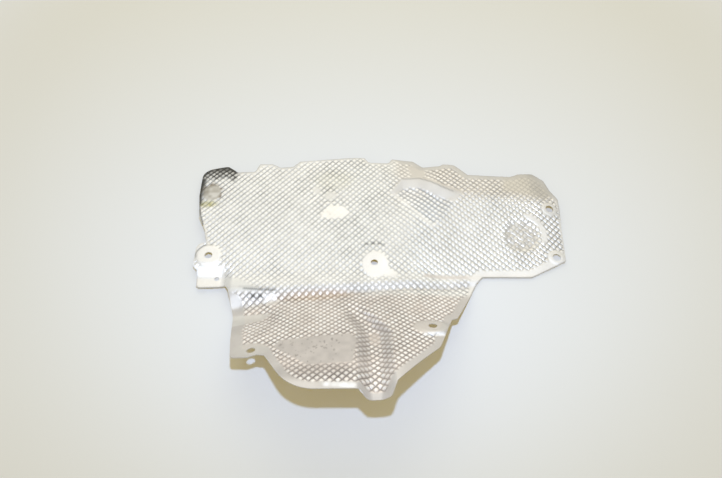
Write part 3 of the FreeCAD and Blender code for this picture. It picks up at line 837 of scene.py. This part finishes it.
def normals(x, y):
    """Directions square to the sheet's middle."""
    nudge = 0.4
    along_x = (form(x + nudge, y) - form(x - nudge, y)) / (2.0 * nudge)
    along_y = (form(x, y + nudge) - form(x, y - nudge)) / (2.0 * nudge)
    lift = np.stack([-along_x, -along_y, np.ones_like(x)], axis=1)
    return lift / np.linalg.norm(lift, axis=1)[:, None]


def store(mesh, name, kind, values):
    """Keeps these values on the mesh's points."""
    field = {"FLOAT": "value", "FLOAT_VECTOR": "vector", "FLOAT_COLOR": "color"}[kind]
    layer = mesh.attributes.new(name, kind, "POINT")
    layer.data.foreach_set(field, np.ascontiguousarray(values, dtype=np.float32).ravel())


def sheet_mesh():
    """Both skins of the sheet and the wall along its edges, with the values that the embossing reads."""
    upper, upper_faces = skin(FINE)
    lower, lower_faces = skin(COARSE)
    plan = np.concatenate([upper, lower])
    x, y = plan[:, 0], plan[:, 1]
    side = np.concatenate([np.full(len(upper), 0.5), np.full(len(lower), -0.5)])
    lift = normals(x, y)
    places = np.stack([x, y, form(x, y)], axis=1) + lift * (side * GAUGE)[:, None]
    first = len(upper)
    faces = upper_faces.tolist() + (first + lower_faces[:, ::-1]).tolist()
    start = 0
    for loop in LOOPS:
        count = len(loop)
        for index in range(count):
            a, b = start + index, start + (index + 1) % count
            faces.append((a, first + a, first + b, b))
        start += count
    mesh = bpy.data.meshes.new("heat_shield_sheet")
    mesh.from_pydata((places * MM).tolist(), [], faces)
    part = masks(x, y)
    colour, rough, lines = surface(x, y, part)
    store(mesh, "flat", "FLOAT_VECTOR", np.stack([x, flat_y(x, y), np.zeros_like(x)], axis=1) * MM)
    store(mesh, "lift", "FLOAT_VECTOR", lift)
    store(mesh, "rows", "FLOAT_VECTOR", np.stack([*row_shares(x), lines], axis=1))
    store(mesh, "emboss", "FLOAT", part["emboss"])
    store(mesh, "rough", "FLOAT", rough)
    store(mesh, "tint", "FLOAT_COLOR", np.concatenate([colour, np.ones((len(x), 1))], axis=1))
    mesh.polygons.foreach_set("use_smooth", np.ones(len(mesh.polygons), dtype=bool))
    mesh.validate()
    return mesh


def placed(name, data):
    """A new object of this name in the scene."""
    thing = bpy.data.objects.new(name, data)
    bpy.context.collection.objects.link(thing)
    return thing


def node_maker(tree):
    """Two helpers for a node tree: one links a value or a socket, one adds a node of arithmetic."""
    def link(value, socket):
        if isinstance(value, (int, float)):
            socket.default_value = value
        else:
            tree.links.new(value, socket)

    def sum_of(operation, *values):
        node = tree.nodes.new("ShaderNodeMath")
        node.operation = operation
        for index, value in enumerate(values):
            link(value, node.inputs[index])
        return node.outputs[0]

    return link, sum_of


def ridges(tree, flat, cosine, sine, scale):
    """For both families of embossed lines: 0 on a line and 1 halfway to the next."""
    link, sum_of = node_maker(tree)
    split = tree.nodes.new("ShaderNodeSeparateXYZ")
    link(flat, split.inputs[0])
    u, v = split.outputs[0], split.outputs[1]
    along = sum_of("ADD", sum_of("MULTIPLY", u, cosine), sum_of("MULTIPLY", v, sine))
    across = sum_of("SUBTRACT", sum_of("MULTIPLY", v, cosine), sum_of("MULTIPLY", u, sine))
    angles = [sum_of("MULTIPLY", place, scale) for place in (along, across)]
    return [sum_of("ABSOLUTE", sum_of("COSINE", angle)) for angle in angles]


def emboss_tree(material):
    """Geometry Nodes: bumps on a square lattice over the flat sheet, raised along the sheet's own normal."""
    tree = bpy.data.node_groups.new("Embossing", "GeometryNodeTree")
    tree.interface.new_socket("Geometry", in_out="INPUT", socket_type="NodeSocketGeometry")
    for name in EMBOSSING:
        tree.interface.new_socket(name, in_out="INPUT", socket_type="NodeSocketFloat")
    tree.interface.new_socket("Geometry", in_out="OUTPUT", socket_type="NodeSocketGeometry")
    nodes = tree.nodes
    given = nodes.new("NodeGroupInput")
    link, sum_of = node_maker(tree)

    def stored(name, kind):
        node = nodes.new("GeometryNodeInputNamedAttribute")
        node.data_type = kind
        node.inputs["Name"].default_value = name
        return node.outputs["Attribute"]

    cosine, sine = (sum_of(operation, given.outputs["Turn"]) for operation in ("COSINE", "SINE"))
    scale = sum_of("DIVIDE", math.pi, given.outputs["Pitch"])
    shares = nodes.new("ShaderNodeSeparateXYZ")
    link(stored("rows", "FLOAT_VECTOR"), shares.inputs[0])
    rows = []
    families = ridges(tree, stored("flat", "FLOAT_VECTOR"), cosine, sine, scale)
    for ridge, share in zip(families, shares.outputs):
        rows.append(sum_of("MULTIPLY_ADD", share, sum_of("SUBTRACT", ridge, 1.0), 1.0))
    bump = sum_of("POWER", sum_of("MULTIPLY", *rows), given.outputs["Sharpness"])
    bump = sum_of("SUBTRACT", bump, given.outputs["Middle"])
    height = sum_of("MULTIPLY", sum_of("MULTIPLY", bump, given.outputs["Depth"]), stored("emboss", "FLOAT"))
    offset = nodes.new("ShaderNodeVectorMath")
    offset.operation = "SCALE"
    link(stored("lift", "FLOAT_VECTOR"), offset.inputs[0])
    link(height, offset.inputs["Scale"])
    place = nodes.new("GeometryNodeSetPosition")
    link(given.outputs["Geometry"], place.inputs["Geometry"])
    link(offset.outputs[0], place.inputs["Offset"])
    whole = nodes.new("GeometryNodeRealizeInstances")
    link(place.outputs[0], whole.inputs[0])
    paint = nodes.new("GeometryNodeSetMaterial")
    link(whole.outputs[0], paint.inputs["Geometry"])
    paint.inputs["Material"].default_value = material
    result = nodes.new("NodeGroupOutput")
    link(paint.outputs[0], result.inputs[0])
    return tree


def embossed(mesh, material):
    """The sheet as a plain mesh after the embossing tree."""
    carrier = placed("carrier", mesh)
    modifier = carrier.modifiers.new("Embossing", "NODES")
    modifier.node_group = emboss_tree(material)
    for socket in modifier.node_group.interface.items_tree:
        if socket.name in EMBOSSING:
            modifier[socket.identifier] = EMBOSSING[socket.name]
    bpy.context.view_layer.update()
    ready = carrier.evaluated_get(bpy.context.evaluated_depsgraph_get())
    plain = bpy.data.meshes.new_from_object(ready)
    carrier.modifiers.remove(modifier)
    bpy.data.objects.remove(carrier)
    plain.name = "heat_shield_sheet"
    if not plain.materials:
        plain.materials.append(material)
    plain.set_sharp_from_angle(angle=SHARP_EDGE)
    return placed("heat_shield_sheet", plain)


def aluminium():
    """Bright sheet with a fine grain, and a dark line of painted shade in each embossed groove."""
    material = bpy.data.materials.new("embossed_aluminium")
    material.use_nodes = True
    tree = material.node_tree
    nodes = tree.nodes
    link, sum_of = node_maker(tree)
    shader = nodes["Principled BSDF"]
    shader.inputs["Metallic"].default_value = METALLIC

    def stored(name, socket):
        node = nodes.new("ShaderNodeAttribute")
        node.attribute_name = name
        return node.outputs[socket]

    shares = nodes.new("ShaderNodeSeparateXYZ")
    link(stored("rows", "Vector"), shares.inputs[0])
    families = ridges(tree, stored("flat", "Vector"), math.cos(TURN), math.sin(TURN), math.pi / (PITCH * MM))
    grooves = []
    for ridge, share in zip(families, shares.outputs):
        groove = nodes.new("ShaderNodeMapRange")
        groove.interpolation_type = "SMOOTHSTEP"
        link(ridge, groove.inputs["Value"])
        groove.inputs["From Max"].default_value = LINE_WIDTH
        groove.inputs["To Min"].default_value = 1.0
        groove.inputs["To Max"].default_value = 0.0
        grooves.append(sum_of("MULTIPLY", groove.outputs["Result"], share))
    line = sum_of("MULTIPLY", sum_of("MAXIMUM", *grooves), stored("emboss", "Fac"))
    place = nodes.new("ShaderNodeTexCoord")
    noise = nodes.new("ShaderNodeTexNoise")
    noise.inputs["Scale"].default_value = GRAIN_SCALE
    noise.inputs["Detail"].default_value = GRAIN_DETAIL
    link(place.outputs["Object"], noise.inputs["Vector"])
    grain = noise.outputs["Fac"]
    # Painted shade: the colour is darkened along each embossed groove
    shade = sum_of("SUBTRACT", 1.0, sum_of("MULTIPLY", line, shares.outputs[2]))
    shade = sum_of("MULTIPLY", shade, sum_of("MULTIPLY_ADD", grain, GRAIN_TONE, 1.0 - 0.5 * GRAIN_TONE))
    colour = nodes.new("ShaderNodeVectorMath")
    colour.operation = "SCALE"
    link(stored("tint", "Color"), colour.inputs[0])
    link(shade, colour.inputs["Scale"])
    link(colour.outputs[0], shader.inputs["Base Color"])
    rough = sum_of("SUBTRACT", stored("rough", "Fac"), 0.5 * GRAIN_ROUGH)
    link(sum_of("MULTIPLY_ADD", grain, GRAIN_ROUGH, rough), shader.inputs["Roughness"])
    relief = nodes.new("ShaderNodeBump")
    relief.inputs["Strength"].default_value = RELIEF_STRENGTH
    relief.inputs["Distance"].default_value = RELIEF_DEPTH
    link(sum_of("SUBTRACT", sum_of("MULTIPLY", grain, GRAIN_RELIEF), line), relief.inputs["Height"])
    link(relief.outputs[0], shader.inputs["Normal"])
    return material


def seen_by_eye(tree):
    """1 for the rays of the camera and of reflections, 0 for those that light the scene."""
    path = tree.nodes.new("ShaderNodeLightPath")
    seen = tree.nodes.new("ShaderNodeMath")
    seen.operation = "ADD"
    seen.use_clamp = True
    tree.links.new(path.outputs["Is Camera Ray"], seen.inputs[0])
    tree.links.new(path.outputs["Is Glossy Ray"], seen.inputs[1])
    return seen.outputs[0]


def pale_floor():
    """Plain pale floor with a glow that the camera and reflections see: warm near the sheet, painted light that
    keeps its shadow open, and paler far off.
    """
    material = bpy.data.materials.new("pale_floor")
    material.use_nodes = True
    tree = material.node_tree
    nodes, links = tree.nodes, tree.links
    shader = nodes["Principled BSDF"]
    shader.inputs["Base Color"].default_value = FLOOR_COLOUR
    shader.inputs["Roughness"].default_value = FLOOR_ROUGHNESS
    place = nodes.new("ShaderNodeTexCoord")
    away = nodes.new("ShaderNodeVectorMath")
    away.operation = "DISTANCE"
    away.inputs[1].default_value = FLOOR_CENTRE
    links.new(place.outputs["Object"], away.inputs[0])
    share = nodes.new("ShaderNodeMapRange")
    share.interpolation_type = "SMOOTHSTEP"
    share.inputs["From Min"].default_value, share.inputs["From Max"].default_value = FLOOR_BLEND
    links.new(away.outputs["Value"], share.inputs["Value"])
    tone = nodes.new("ShaderNodeMix")
    tone.data_type = "RGBA"
    tone.inputs[6].default_value, tone.inputs[7].default_value = FLOOR_NEAR, FLOOR_FAR
    links.new(share.outputs["Result"], tone.inputs[0])
    links.new(tone.outputs[2], shader.inputs["Emission Color"])
    links.new(seen_by_eye(tree), shader.inputs["Emission Strength"])
    return material


def lay_floor():
    """The floor under the lowest point of the sheet."""
    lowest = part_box("heat_shield")[0][2]
    mesh = bpy.data.meshes.new("floor")
    signs = ((-1, -1), (1, -1), (1, 1), (-1, 1))
    mesh.from_pydata([(i * FLOOR_REACH, j * FLOOR_REACH, lowest) for i, j in signs], [], [(0, 1, 2, 3)])
    mesh.materials.append(pale_floor())
    floor = placed("floor", mesh)


def camera():
    data = bpy.data.cameras.new("camera")
    data.sensor_width = SENSOR
    data.lens = LENS
    data.clip_start = 0.01
    eye = placed("camera", data)
    eye.location = EYE
    eye.rotation_euler = (TILT, 0.0, 0.0)
    bpy.context.scene.camera = eye


def lamp(name, kind, settings, place, target):
    """A lamp of this kind that points at a target."""
    data = bpy.data.lights.new(name, kind)
    for setting, value in settings.items():
        setattr(data, setting, value)
    light = placed(name, data)
    light.location = place
    light.rotation_euler = (target - place).to_track_quat("-Z", "Y").to_euler()


def room():
    """Light that fills the scene from all sides, with a paler backdrop where it is seen."""
    world = bpy.data.worlds.new("fill")
    world.use_nodes = True
    tree = world.node_tree
    fill, backdrop = tree.nodes["Background"], tree.nodes.new("ShaderNodeBackground")
    choice = tree.nodes.new("ShaderNodeMixShader")
    tree.links.new(seen_by_eye(tree), choice.inputs[0])
    for index, (node, (colour, strength)) in enumerate(((fill, FILL), (backdrop, BACKDROP))):
        node.inputs["Color"].default_value = colour
        node.inputs["Strength"].default_value = strength
        tree.links.new(node.outputs[0], choice.inputs[index + 1])
    tree.links.new(choice.outputs[0], tree.nodes["World Output"].inputs["Surface"])
    bpy.context.scene.world = world


def studio():
    """Pale floor, camera at the photograph's angle, soft light from above the camera, and even fill."""
    lay_floor()
    camera()
    lamp("key", "SPOT", KEY, KEY_PLACE, KEY_TARGET)
    lamp("panel", "AREA", PANEL, PANEL_PLACE, PANEL_TARGET)
    room()
    bpy.context.scene.view_settings.view_transform = "Standard"


sheet = embossed(sheet_mesh(), aluminium())
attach(sheet, "root")
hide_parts("heat_shield")
studio()
